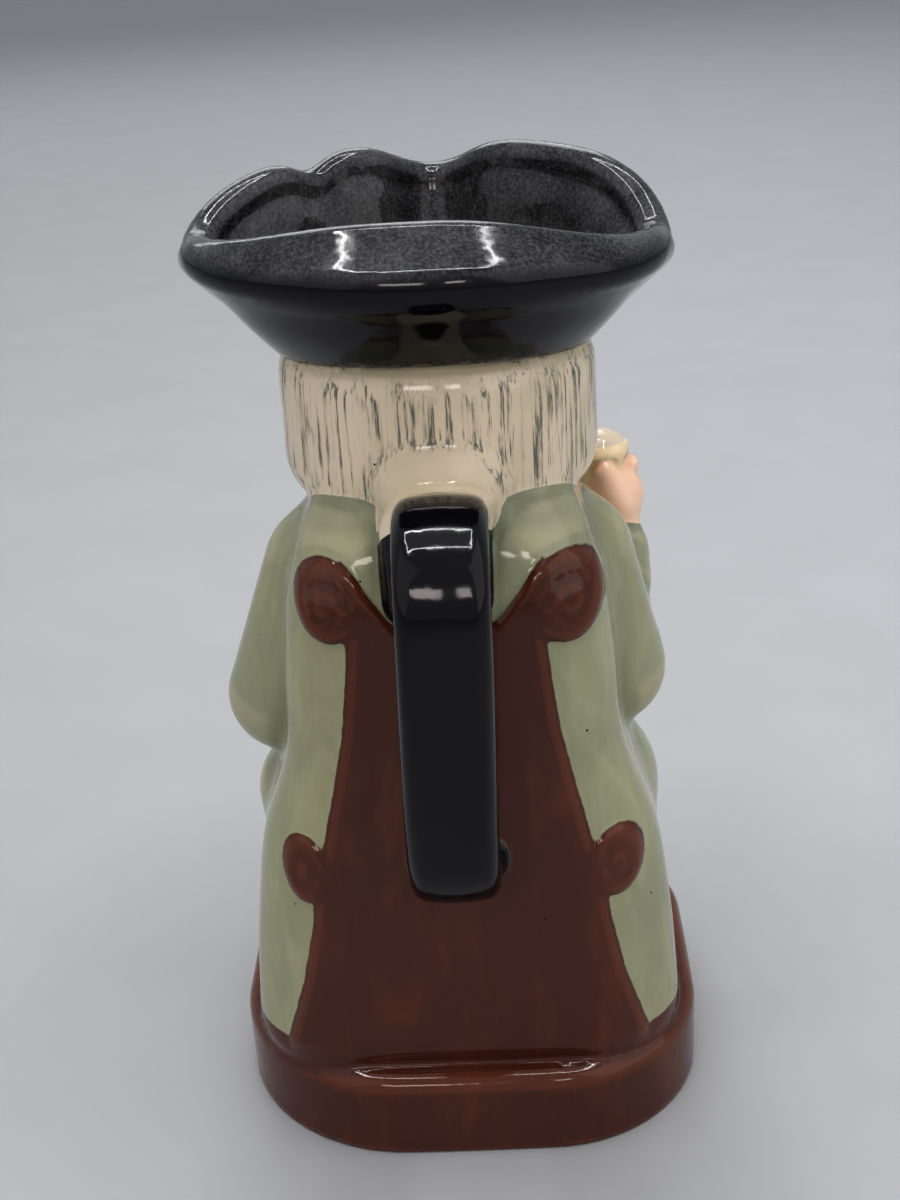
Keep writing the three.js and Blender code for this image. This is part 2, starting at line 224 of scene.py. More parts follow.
def coat():
    forms = [
        (raised(body_plan(), BASE["height"] - 4, 103, 6, 34), 1),
        (limb((17.5, 3, 84), (25.6, 2, 63), 9.5, 9), 3),
        (limb((-17.8, 3, 84), (-23.3, 1, 64.5), 9.5, 9), 3),
        (egg((24, -1, 45.5), 7.8, 12, 7), 2),
        (egg((-23.6, -2, 44), 7.8, 12, 9), 2),
        (limb((25.6, 1, 62.5), (21, -18, 60.5), 8, 6), 2),
        (limb((-23.3, 0, 66), (-24.2, -12.5, 77.5), 8, 6), 2),
    ]
    forms += soft(both(lambda s: limb((s * 8, -10, 88), (s * 17, -20, 48), 5, 5)), 3)
    # Turned collar either side of the neckcloth, and turned-back cuffs.
    forms += soft(both(lambda s: limb((s * 9, -11, 90), (s * 12.5, -16.5, 76), 3.4, 2.4)), 1)
    forms += [
        (limb((22.3, -12.7, 61), (21, -18, 60.5), 7.4, 7.0), 0.6),
        (limb((-24, -9.5, 74.2), (-24.2, -12.5, 77.5), 7.2, 6.9), 0.6),
    ]
    return forms


def waistcoat():
    return [(egg(**BELLY), 4)]


def breeches():
    forms = both(lambda s: limb((s * 12, 0, 46), (s * 13, -20, 44.5), 10, 8.2))
    forms += both(lambda s: limb((s * 13, -20, 44.5), (s * 12.8, -20.5, 39), 7.6, 6.9))
    return soft(forms, 1.5)


def stockings():
    forms = both(lambda s: limb((s * 12.8, -20.5, 40), (s * 12.6, -20, 32), 6.2, 6.3))
    forms += both(lambda s: limb((s * 12.6, -20, 32), (s * 11.6, -19.5, 20), 6.0, 4.2))
    return soft(forms, 1.2)


def shoes():
    forms = both(lambda s: limb((s * 11.6, -17.5, 17.4), (s * 13.4, -27.4, 16.4), 4.4, 3.8))
    forms += both(lambda s: raised(
        lambda x, y, z: rounded_box(x - s * 12.7, y + 23, 4.1, 8.2, 3.8), 12, 14.6, 0.6, 40))
    return soft(forms, 1.0)


def hair():
    forms = [
        (raised(hair_plan(), HAIR["bottom"], HAT["foot"] + 4, HAIR["round"], 24), 1.0),
        (egg((0, 18.0, 101), 8.6, 5.5, 5.5), 3),  # over the root of the handle
    ]
    # Side locks that frame the face.
    outer = both(lambda s: limb((s * 16.4, -11.5, 114), (s * 17.6, -10.5, 97.5), 3.4, 4.0))
    inner = both(lambda s: limb((s * 13.4, -14.6, 113), (s * 15.6, -13.2, 104), 2.0, 1.6))
    return forms + soft(outer, 1.2) + soft(inner, 1.0)


def face():
    forms = [
        (egg((0, -7.5, 104), 16.2, 15, 20.5), 1.5),
        (egg((0, -15.2, 90.6), 6.2, 5.6, 4.6), 4),  # chin
        (limb((-8, -17.4, 112.6), (8, -17.4, 112.6), 3.6, 3.6), 4),  # forehead
        (limb((0, -20.6, 110), (0, -24.0, 101.8), 1.5, 2.1), 2),  # bridge of the nose
        (egg((0, -24.0, 101.3), 2.3, 2.2, 2.0), 1),  # its tip
    ]
    cheeks = both(lambda s: egg((s * 8.8, -15.8, 98.6), 5.6, 5, 5.2))
    nostrils = both(lambda s: egg((s * 2.3, -22.7, 100.7), 1.5, 2.0, 1.3))
    brows = both(lambda s: limb((s * 2.9, -21.4, 110.4), (s * 9.6, -18.6, 110.2), 0.9, 0.7))
    return forms + soft(cheeks, 3.5) + soft(nostrils, 1.0) + soft(brows, 1.2)


def eyes():
    return soft(both(lambda s: egg((s * EYE["x"], EYE["y"], EYE["z"]), 2.9, 2.0, 2.1)), 0.3)


def lids():
    forms = []
    for s in (1, -1):
        arch = [(2.9, 0.3, 0.1), (4.4, -0.9, 1.5), (6.2, -1.3, 1.9), (8.0, -0.6, 1.4), (9.4, 1.1, 0.0)]
        upper = [(s * x, EYE["y"] - 0.9 + dy, EYE["z"] + 0.85 * dz) for x, dy, dz in arch]
        lower = [(s * x, EYE["y"] - 0.7 + dy, EYE["z"] - 0.85 * dz) for x, dy, dz in arch]
        forms += [(limb(a, b, 0.85, 0.85), 0.5) for a, b in zip(upper, upper[1:])]
        forms += [(limb(a, b, 0.5, 0.5), 0.5) for a, b in zip(lower, lower[1:])]
    return forms


def lips():
    forms = both(lambda s: limb((s * 0.9, -21.6, 96.0), (s * 4.9, -19.7, 95.9), 0.65, 0.3))
    forms += both(lambda s: limb((s * 0.6, -21.4, 94.7), (s * 3.8, -20.2, 95.3), 0.8, 0.4))
    return soft(forms, 0.7)


def hands():
    """The left hand round the mug and the right hand round the beaker: palms, thumbs and fingers."""
    forms = [
        (limb((21, -18, 60.5), (17.5, -25, 61.2), 4.4, 4.8), 1),
        (limb((-24.2, -12.5, 77.5), (-25.6, -15.6, 86.0), 4.4, 5.0), 1),
        (limb((19.5, -21, 64.5), (14.5, -24.5, 68.6), 2.0, 1.6), 1.2),
        (limb((-26.6, -12.0, 85.5), (-24.6, -12.6, 90.6), 2.2, 1.7), 1.2),
    ]
    for n in range(4):
        spread, thick = 0.3 * (n - 1.5), 1.75 - 0.08 * n
        mug_line = [(18.4, -26.6, 65.6 - n * 2.9), (14.4, -31.0 + 0.2 * n, 65.7 - n * 2.9),
                    (9.6, -32.5 + 0.2 * n, 65.1 - n * 2.9)]
        cup_line = [(-28.4, -16.6, 90.4 - n * 2.6), (-26.9, -21.6, 90.6 - n * 2.6 + spread),
                    (-22.8, -22.8, 90 - n * 2.6 + spread)]
        forms += [(limb(a, b, thick, thick - 0.1), 0.5) for a, b in zip(mug_line, mug_line[1:])]
        forms += [(limb(a, b, thick - 0.2, thick - 0.3), 0.5) for a, b in zip(cup_line, cup_line[1:])]
    return forms


def neckcloth():
    forms = [egg((0, -13, 84.5), 9.5, 7.5, 5.5), egg((0, -21.2, 82.6), 2.0, 2.2, 2.2)]
    forms += both(lambda s: egg((s * 4.6, -19.4, 82.6), 4.6, 2.8, 3.1))
    forms += both(lambda s: limb((s * 1.2, -21.2, 80.5), (s * 3.2, -23.3, 73.5), 1.7, 2.5))
    return soft(forms, 0.7)


def gilding():
    """Buttons and shoe buckles."""
    forms = [egg((0, belly_front(z) - 0.1, z), 1.5, 1.0, 1.5) for z in (68.5, 62.5, 56.5, 50.5)]
    forms += both(lambda s: raised(
        lambda x, y, z: np.maximum(
            rounded_box(x - s * 12.2, y + 23.4, 2.6, 2.0, 0.6),
            -rounded_box(x - s * 12.2, y + 23.4, 1.5, 0.9, 0.3)), 19.6, 21.4, 0.4, 40))
    forms += [egg((-14.6, -23.2, z), 1.2, 1.0, 1.2) for z in (64, 56.5)]
    return soft(forms, 0.25)


def turned(x, y, profile):
    """A solid of revolution about an upright line: profile gives the radius at each height."""
    heights, radii = np.array(profile, float).T

    def distance(px, py, pz):
        radius = np.interp(pz, heights, radii)
        side = np.hypot(px - x, py - y) - radius
        rise = np.abs(pz - (heights[0] + heights[-1]) / 2) - (heights[-1] - heights[0]) / 2
        return corner_gap(side, rise)

    reach = radii.max()
    low = np.array([x - reach, y - reach, heights[0]])
    high = np.array([x + reach, y + reach, heights[-1]])
    return Form(distance, low, high)


def mug():
    low, high, foot, rim = (MUG[key] for key in ("low", "high", "foot", "rim"))
    profile = [(low, foot - 0.4), (low + 0.5, foot), (low + 1.4, foot), (low + 1.9, foot - 0.45)]
    profile += [((low + high) / 2, rim - 0.2), (high - 2.6, rim - 0.1)]
    profile += [(high - 2.2, rim + 0.3), (high - 0.5, rim + 0.3), (high, rim - 0.3)]
    return [(turned(MUG["x"], MUG["y"], profile), 0.4)]


def froth():
    return [(egg((cup["x"], cup["y"], cup["high"] - 0.4), cup["rim"] - spare, cup["rim"] - spare, 2.2), 0.3)
            for cup, spare in ((MUG, 1.0), (BEAKER, 0.3))]


def beaker():
    low, high, foot, rim = (BEAKER[key] for key in ("low", "high", "foot", "rim"))
    profile = [(low, foot - 0.8), (low + 0.5, foot), (low + 1.2, foot), (low + 1.8, foot - 0.4)]
    profile += [(high - 8, rim - 0.6), (high - 1.9, rim)]
    profile += [(high - 1.5, rim + 0.35), (high - 0.5, rim + 0.35), (high, rim - 0.2)]
    return [(turned(BEAKER["x"], BEAKER["y"], profile), 0.5)]


def smooth_line(points, count=6):
    """A Catmull-Rom curve through the points."""
    p = [np.array(np.broadcast_arrays(*point), float) for point in points]
    p = [2 * p[0] - p[1], *p, 2 * p[-1] - p[-2]]
    out = []
    for a, b, c, d in zip(p, p[1:], p[2:], p[3:]):
        for t in np.linspace(0, 1, count, endpoint=False):
            out.append(0.5 * (2 * b + (c - a) * t + (2 * a - 5 * b + 4 * c - d) * t ** 2
                              + (3 * b - a - 3 * c + d) * t ** 3))
    return np.array(out + [p[-2]])


# ---- Hat: a sheet of clay that rises from the hair and flares to three corners ----
def falloff(distance, width, power):
    """1 at no distance, fading with a width in degrees."""
    return np.exp(-((distance / np.radians(width)) ** power))


def from_side(bearing):
    """Angle to the nearer side of the jug. A bearing is 0 in front and positive on the figure's left."""
    return np.abs(math.pi / 2 - np.abs(bearing))


def brim_radius(bearing):
    side, front = falloff(from_side(bearing), 23, 2), falloff(np.abs(bearing), 13, 2)
    reach = HAT["side"] - HAT["right_shorter"] * (1 - clamp(0.5 + bearing))
    return HAT["panel"] + (reach - HAT["panel"]) * side + (HAT["front"] - HAT["panel"]) * front


def brim_crest(bearing):
    ahead = np.cos(bearing) > 0
    distance = from_side(bearing)
    side_ahead = falloff(distance, np.where(bearing > 0, 17, 14.5), 1.4)
    side = np.where(ahead, side_ahead, falloff(distance, 48, 1.4))
    front = falloff(np.abs(bearing), 14, 2)
    wave = 2.2 * falloff(np.abs(bearing - math.radians(43)), 9, 2)  # only in the left brim
    crest = np.where(ahead, CREST["panel"], CREST["back"])
    corner = lerp(CREST["right"], CREST["left"], clamp(0.5 + bearing))
    return crest - (crest - corner) * side - (CREST["panel"] - CREST["front"]) * front - wave


def brim_lip(bearing):
    corner = np.maximum(falloff(from_side(bearing), 22, 2), falloff(np.abs(bearing), 14, 2))
    return lerp(LIP["panel"], LIP["corner"], corner)


def hat_radius(bearing, rise):
    """Outer radius of the brim on its way up."""
    corner = falloff(from_side(bearing), 30, 2)
    bowl = lerp(np.sin(rise * math.pi / 2) ** 0.8, np.minimum(rise / 0.86, 1), corner)
    waist = 0.9 * (1 - corner) * np.sin(math.pi * clamp((rise - 0.35) / 0.55))
    foot = lerp(HAT["foot_radius"], HAT["side_radius"], np.sin(bearing) ** 2)
    return lerp(foot, brim_radius(bearing), bowl) - waist


def hat_foot(bearing):
    return lerp(HAT["foot_back"], HAT["foot"], np.sin(bearing) ** 2)


# The back of the brim flares, turns over at an edge and leans in to its crest. Each step gives the rise of
# the front at that step, then the outer radius, height and thickness, each at the sides and at the back.
BACK_BRIM = [
    (0.00, 22.2, 21.5, HAT["foot"], HAT["foot_back"], 4.0, 4.0),
    (0.25, 25.9, 24.6, 120.6, 122.4, 4.2, 4.2),
    (0.50, 29.2, 27.6, 124.6, 126.4, 4.6, 5.0),
    (0.72, 32.6, 30.0, 127.8, 130.0, 5.0, 6.4),
    (0.88, 34.8, 28.5, 130.6, 133.4, 5.2, 6.0),
    (1.00, 33.6, 24.3, 132.6, 137.2, 5.0, 4.6),
]


def back_brim(bearing):
    """Radius, height and half thickness of the sheet, step by step, for the back half of the brim."""
    sine, cosine = np.sin(bearing), np.cos(bearing)
    leftward = clamp(0.5 + bearing)
    share = np.abs(sine) ** lerp(2.2, 3.2, leftward)
    outer = []
    for _, side, back, side_z, back_z, side_thick, back_thick in BACK_BRIM:
        side = side - HAT["right_shorter"] * (1 - leftward) * clamp((side_z - 118) / 10)
        radius = 1 / np.sqrt((sine / side) ** 2 + (cosine / back) ** 2)
        droop = HAT["right_lower"] * (1 - leftward) * clamp((side_z - 118) / 10)
        outer.append((radius, lerp(back_z, side_z - droop, share), lerp(back_thick, side_thick, share) / 2))
    steps = []
    for k, (radius, z, half) in enumerate(outer):
        before, after = outer[max(k - 1, 0)], outer[min(k + 1, len(outer) - 1)]
        along_r, along_z = after[0] - before[0], after[1] - before[1]
        length = np.hypot(along_r, along_z)
        steps.append((radius - half * along_z / length, z + half * along_r / length, half))
    return steps


def brim_steps(bearing):
    """Radius, height and half thickness of the sheet, step by step, on a smooth curve up to its crest."""
    crest, lip, foot = brim_crest(bearing), brim_lip(bearing), hat_foot(bearing)
    behind = ease(-np.cos(bearing), -0.12, 0.30)
    steps = []
    for row, (back_r, back_z, back_half) in zip(BACK_BRIM, back_brim(bearing)):
        rise = row[0]
        half = lerp(WALL, lip, ease(rise, 0.3, 1.0)) / 2
        radius, z = hat_radius(bearing, rise) - half, lerp(foot, crest - half, rise)
        steps.append((lerp(radius, back_r, behind), lerp(z, back_z, behind), lerp(half, back_half, behind)))
    return smooth_line(steps, 4)


def hat():
    """Distance to the sheet, taken in the upright plane through each point and the jug's axis."""

    def distance(x, y, z):
        bearing = np.arctan2(x, -y)
        r = np.hypot(x, y)
        steps = brim_steps(bearing)
        nearest = None
        for (r0, z0, half0), (r1, z1, half1) in zip(steps, steps[1:]):
            along_r, along_z = r1 - r0, z1 - z0
            h = clamp(((r - r0) * along_r + (z - z0) * along_z) / (along_r ** 2 + along_z ** 2))
            gap = np.hypot(r - r0 - h * along_r, z - z0 - h * along_z) - lerp(half0, half1, h)
            nearest = gap if nearest is None else np.minimum(nearest, gap)
        return np.maximum(nearest, hat_foot(bearing) - z)

    return [(Form(distance, np.array([-37, -37, HAT["foot"]]), np.array([37, 37, TOP])), 0.5)]


# ---- Handle: a strap bent along a line of y and z, near the plane x = 0 ----
HANDLE_LINE = [(16.5, 97.6), (26, 99.8), (34.5, 102.3), (41.2, 101.0), (45.0, 96.2), (46.0, 88.5),
               (45.4, 76), (43.6, 63), (41.0, 54.5), (35.5, 49.8), (25.5, 48.4)]


def handle():
    line = smooth_line(HANDLE_LINE)
    reach = np.concatenate([[0], np.cumsum(np.hypot(*np.diff(line, axis=0).T))])

    def distance(x, y, z):
        x = x + HANDLE["lean"] * ease(z, 60, 95)  # its upper end stands a little to the figure's right
        off = np.full(np.broadcast(y, z).shape, np.inf)
        run = np.zeros(off.shape)
        for n, (a, b) in enumerate(zip(line, line[1:])):
            along = b - a
            h = clamp(((y - a[0]) * along[0] + (z - a[1]) * along[1]) / float(along @ along))
            gap = np.hypot(y - a[0] - h * along[0], z - a[1] - h * along[1])
            run = np.where(gap < off, reach[n] + h * (reach[n + 1] - reach[n]), run)
            off = np.minimum(off, gap)
        flare = 0.8 * np.exp(-((run - 4) / 6.0) ** 2) + 0.5 * np.exp(-((reach[-1] - run) / 6.0) ** 2)
        half_width = HANDLE["width"] / 2 + flare
        half_thick = HANDLE["thickness"] / 2
        crowned = off + HANDLE["crown"] * (x / half_width) ** 2
        return rounded_box(x, crowned, half_width, half_thick, HANDLE["corner"])

    low = np.array([-9, line[:, 0].min() - 4, line[:, 1].min() - 4])
    high = np.array([9, line[:, 0].max() + 4, line[:, 1].max() + 4])
    root = raised(lambda x, y, z: rounded_box(x - 0.8, y - 19.6, 7.4, 8.4, 3.5), 83.6, 100.6, 3.5, 30)
    return [(root, 1.5), (Form(distance, low, high), 2.4)]


# ---- Chair back: the outline of its low relief, seen from behind, as heights and half widths ----
CHAIR = np.array([(8, 27.6), (17, 27.2), (28, 23.8), (38, 21.6), (42, 21.2), (48, 19.8), (53, 18.6),
                  (60, 16.9), (68, 15.2), (76, 14.2), (82, 13.6), (90, 13.4), (100, 13.4)], float)
EARS = {1: dict(x=16.0, z=87.2, rx=4.9, rz=5.8), -1: dict(x=16.8, z=86.4, rx=5.7, rz=6.2)}
SCROLLS = {1: dict(x=22.2, z=46.6, rx=3.5, rz=5.2), -1: dict(x=22.8, z=46.1, rx=4.2, rz=5.3)}


def oval(x, z, cx, cz, rx, rz):
    """Distance to an oval, negative inside."""
    u, v = (x - cx) / rx, (z - cz) / rz
    near = np.hypot(u, v)
    return near * (near - 1) / np.maximum(np.hypot(u / rx, v / rz), 1e-6)


def side_oval(x, z, ovals):
    """The oval of this side of the chair."""
    cx, cz, rx, rz = (np.where(x > 0, ovals[1][key], ovals[-1][key]) for key in ("x", "z", "rx", "rz"))
    return oval(np.abs(x), z, cx, cz, rx, rz)


def chair_outline(x, z):
    """Negative inside the chair back."""
    side = np.abs(x)
    panel = (side - np.interp(z, CHAIR[:, 0], CHAIR[:, 1])) * 0.96
    dip = (z - 84.0 - 1.25 * np.maximum(side - 7.0, 0)) * 0.62
    panel = np.maximum(panel, dip)
    return blend(blend(panel, side_oval(x, z, EARS), 1.2), side_oval(x, z, SCROLLS), 0.8)


def curl(x, z, cx, cz, rx, rz):
    """A groove that winds in from the rim of an ear or scroll to its eye."""
    u, v = (x - cx) / rx, (z - cz) / rz
    turn = np.arctan2(v, u)
    reach = np.hypot(u, v) - (0.42 + 0.05 * turn)
    return np.exp(-((reach * min(rx, rz)) / 0.5) ** 2)


def chair_relief(x, y, z):
    """How far the surface is lifted: the panel, less a groove that curls into each ear and scroll."""
    outline = chair_outline(x, z)
    lift = RELIEF * (1 - ease(outline, -0.9, 0.3))
    side = np.abs(x)
    for sign in (1, -1):
        for eye in (EARS[sign], SCROLLS[sign]):
            groove = curl(side, z, eye["x"] + 0.4, eye["z"] - 0.6, eye["rx"], eye["rz"])
            lift = lift - 0.16 * groove * (outline < -0.5) * (x * sign > 0)
    return lift * ease(y, 8, 14) * ease(z, 14.0, 17.5)


# ---- The field ----
LOW = np.array([-37.5, -36.0, -1.5])
HIGH = np.array([37.5, 51.5, TOP + 1.5])
COUNT = np.ceil((HIGH - LOW) / STEP).astype(int) + 1
AXES = [LOW[i] + STEP * np.arange(COUNT[i]) for i in range(3)]


def block(low, high, spare):
    """The part of the grid round a box: its slices and its coordinates."""
    cut = []
    for i in range(3):
        first = int(max(0, math.floor((low[i] - spare - LOW[i]) / STEP)))
        last = int(min(COUNT[i], math.ceil((high[i] + spare - LOW[i]) / STEP) + 1))
        cut.append(slice(first, last))
    x, y, z = (AXES[i][cut[i]].astype(np.float32) for i in range(3))
    return tuple(cut), x[:, None, None], y[None, :, None], z[None, None, :]


def add(field, forms):
    """Blends forms into the field, each near its own box."""
    for form, k in forms:
        cut, x, y, z = block(form.low, form.high, k + 3)
        field[cut] = blend(field[cut], form.distance(x, y, z).astype(np.float32), k)


def nearest(forms, x, y, z):
    return np.minimum.reduce([form.distance(x, y, z) for form, _ in forms])


def hollow():
    """The inside of the jug, up to the hat."""
    room = np.full(COUNT, FAR, np.float32)
    cx, cy, cz = BELLY["centre"]
    add(room, [
        (raised(body_plan(-WALL), FLOOR, 97, 7, 34), 1),
        (egg((cx, cy, cz), BELLY["rx"] - WALL, BELLY["ry"] - WALL, BELLY["rz"] - WALL), 8),
        (raised(hair_plan(-WALL), 80, HAT["foot"] + 12, 4, 24), 10),
    ])
    return room


GROUPS = {
    "foot": [(raised(base_plan, -BASE["edge"], BASE["height"], BASE["edge"], 40), 1)],
    "coat": coat(), "waistcoat": waistcoat(), "breeches": breeches(), "stockings": stockings(),
    "shoes": shoes(), "skin": face() + hands() + lids(), "hair": hair(), "neckcloth": neckcloth(),
    "gilding": gilding(),
    "mug": mug(), "froth": froth(), "beaker": beaker(), "eyes": eyes(), "lips": lips(),
    "black": hat() + handle(),
}


def jug_field():
    """The field of the whole jug, and that of the room inside it."""
    field = np.full(COUNT, FAR, np.float32)
    for name in ("foot", "coat", "waistcoat", "breeches", "stockings", "shoes"):
        add(field, GROUPS[name])
    add(field, [(raised(hair_plan(-NECK_INSET), 80, HAT["foot"], 4, 20), 1)])
    cut, x, y, z = block((-34, 8, 6), (34, 40, 96), 0)
    field[cut] -= chair_relief(x, y, z).astype(np.float32)
    for name in ("skin", "hair", "neckcloth", "lips", "eyes", "gilding", "mug", "froth", "beaker", "black"):
        add(field, GROUPS[name])
    # Hollow it out below the hat, leaving some wall everywhere, and open a shaft up into the hat.
    room = np.maximum(hollow(), field + 0.85 * WALL)
    hat_top = (AXES[2] > HAT["foot"] - 1)[None, None, :]
    field = np.where(hat_top, field, np.maximum(field, -room))
    cut, x, y, z = block((-30, -30, HAT["foot"] - 2), (30, 30, HAT["foot"] + 8), 0)
    shaft = hair_plan(-WALL)(x, y, z)
    field[cut] = np.maximum(field[cut], -shaft.astype(np.float32))
    x, y, z = AXES[0][:, None, None], AXES[1][None, :, None], AXES[2][None, None, :]
    waves = np.sin(x / 9.3 + 1.1) * np.sin(z / 12.1 + 0.4)
    waves = waves + np.sin(y / 10.1 + 2.0) * np.sin((x + z) / 14.7)
    field += (UNEVENNESS * waves * ease(z, 1.0, 8.0)).astype(np.float32)
    # Cut it off flat at the floor.
    field[:, :, AXES[2] < 0] = np.maximum(field[:, :, AXES[2] < 0], 0.4)
    return np.maximum(field, -z.astype(np.float32)), room


def sample(field, points):
    """Value of the field at points, between its grid points."""
    place = (points - LOW) / STEP
    cell = np.clip(np.floor(place).astype(int), 0, COUNT - 2)
    share = place - cell
    value = 0.0
    for corner in range(8):
        bit = np.array([(corner >> 2) & 1, (corner >> 1) & 1, corner & 1])
        weight = np.prod(np.where(bit, share, 1 - share), axis=1)
        index = cell + bit
        value = value + weight * field[index[:, 0], index[:, 1], index[:, 2]]
    return value


def slope(field, points, reach=STEP):
    """Direction in which the field grows: the surface's outward normal."""
    parts = []
    for i in range(3):
        offset = np.zeros(3)
        offset[i] = reach
        parts.append(sample(field, points + offset) - sample(field, points - offset))
    gradient = np.stack(parts, axis=1)
    return gradient / np.maximum(np.linalg.norm(gradient, axis=1, keepdims=True), 1e-9)


# ---- Mesh ----
TRIANGLES = 190000


def skin_mesh(field):
    """The surface of the field as a fine mesh, and its points in millimetres."""
    grid = openvdb.FloatGrid(background=5.0)
    grid.copyFromArray(np.clip(field, -5, 5))
    points, triangles, quads = grid.convertToPolygons(isovalue=0.0, adaptivity=0.0)
    points = points * STEP + LOW
    faces = np.vstack([quads[:, [0, 1, 2]], quads[:, [0, 2, 3]], triangles.reshape(-1, 3)])
    mesh = bpy.data.meshes.new("fine_skin")
    mesh.vertices.add(len(points))
    mesh.vertices.foreach_set("co", (points * MM).astype(np.float32).ravel())
    mesh.loops.add(faces.size)
    mesh.loops.foreach_set("vertex_index", faces.astype(np.int32).ravel())
    mesh.polygons.add(len(faces))
    mesh.polygons.foreach_set("loop_start", np.arange(0, faces.size, 3, dtype=np.int32))
    mesh.update(calc_edges=True)
    return mesh, points


def reduced(mesh, keep_fine):
    """The mesh with fewer triangles, mostly taken where keep_fine is low."""
    obj = bpy.data.objects.new("toby_jug_glazed", mesh)
    bpy.context.scene.collection.objects.link(obj)
    group = obj.vertex_groups.new(name="spare")
    levels = np.round(np.clip(1 - keep_fine, 0, 1) * 4) / 4
    for level in np.unique(levels):
        group.add(np.nonzero(levels == level)[0].tolist(), float(level), "REPLACE")
    modifier = obj.modifiers.new("fewer", "DECIMATE")
    modifier.ratio = TRIANGLES / len(mesh.polygons)
    modifier.vertex_group = "spare"
    modifier.vertex_group_factor = 1.0
    modifier.use_collapse_triangulate = True
    evaluated = obj.evaluated_get(bpy.context.evaluated_depsgraph_get())
    result = bpy.data.meshes.new_from_object(evaluated)
    obj.modifiers.clear()
    obj.data = result
    result.name = "toby_jug_glazed"
    obj.vertex_groups.clear()
    return obj


def detail_wanted(points):
    """Near 1 on the face, the hands and the lines between colours, and near 0 inside the jug."""
    x, y, z = points.T
    inside = np.hypot(x, y) < np.interp(z, [0, 90, 100, 117, 141], [12, 12, 16, 17, 22])
    face_near = np.exp(-(((x / 14) ** 2 + ((z - 102) / 13) ** 2) ** 2)) * (y < -14)
    hands_near = np.exp(-((np.hypot(x - 14, z - 62) / 12) ** 4)) * (y < -20)
    hands_near = hands_near + np.exp(-((np.hypot(x + 25, z - 89) / 9) ** 4)) * (y < -10)
    edge = np.exp(-(chair_outline(x, z) / 1.2) ** 2) * (y > 14)
    return np.where(inside, 0.0, clamp(0.35 + 0.65 * (face_near + hands_near) + 0.35 * edge))


# ---- Where each paint goes: positive inside its zone, in millimetres ----
def paint_zones(points, room):
    """Each paint covers its own forms, and the chair, handle root, eyes and cheeks are drawn on."""
    x, y, z = points.T
    near = {name: nearest(forms, x, y, z) for name, forms in GROUPS.items()}
    names = list(near)
    stack = np.stack([near[name] for name in names])
    order = np.sort(stack, axis=0)
    zones = {}
    for index, name in enumerate(names):
        other = np.where(stack[index] == order[0], order[1], order[0])
        zones[name] = other - stack[index]
    seat = np.minimum(np.minimum(21.0 - np.abs(x), -9 - y), 44 - z)
    seat = np.where(near["coat"] < np.minimum(near["breeches"], near["stockings"]), seat, -3)
    seat = np.where(y < -9, seat, -3)
    hem = BASE["height"] + 2.4 + 1.2 * ease(y, 10, 28)
    panel = np.minimum(-chair_outline(x, z), y - 11 - 6 * ease(z, 62, 78))
    zones["chair"] = np.maximum.reduce([zones["foot"], hem - z, panel, seat])
    zones["chair"] = np.minimum(zones["chair"], near["shoes"] - 0.25)
    del zones["foot"]
    root_edge = y - 25.6 - 0.14 * x * x + 3 * np.maximum(99.5 - z, 0)
    on_handle = (y > 18) & (z < HAT["foot"] - 4)
    zones["handle_root"] = np.where(y > 0, 9.5 - np.hypot(x, z - 92), -6)
    cream_root = np.minimum(zones["black"], -root_edge)
    zones["black"] = np.where(on_handle, np.minimum(zones["black"], root_edge), zones["black"])
    zones["hair"] = np.where(on_handle & (z > 96), np.maximum(zones["hair"], cream_root), zones["hair"])
    zones["inside"] = np.minimum(1.5 - np.abs(sample(room, points)), HAT["foot"] + 1.5 - z)
    iris = np.hypot(np.abs(x) - EYE["x"], z - EYE["z"] + 0.1)
    zones["iris"] = np.where(y < -15, 1.15 - iris, -3)
    zones["pupil"] = np.where(y < -15, 0.55 - iris, -3)
    brow_line = 110.9 - 0.055 * (np.abs(x) - 6) ** 2
    brow_width = 0.85 - 0.13 * np.maximum(np.abs(x) - 5, 0)
    brow = np.minimum(brow_width - np.abs(z - brow_line), 3.7 - np.abs(np.abs(x) - 6.3))
    zones["brow"] = np.where(y < -15, brow, -3)
    cheek = 4.6 - np.hypot(np.abs(x) - 8.6, z - 99)
    zones["cheek"] = np.where(y < -14, cheek, -6)
    return zones


def crevice(field, points, normals, reach=1.6):
    """Near 1 in creases, where glaze and colour pool and where the paint darkens them as painted shade."""
    out = sample(field, points + normals * reach) / reach
    return clamp(0.38 + (1 - out) * 1.4)


def ridge(field, points, reach=1.0):
    """Near 1 on sharp ridges, where glaze and colour run thin; on the coat it also lightens them as a
    painted highlight.
    """
    bend = -6 * sample(field, points)
    for i in range(3):
        offset = np.zeros(3)
        offset[i] = reach
        bend = bend + sample(field, points + offset) + sample(field, points - offset)
    return clamp(3 * bend / reach ** 2)


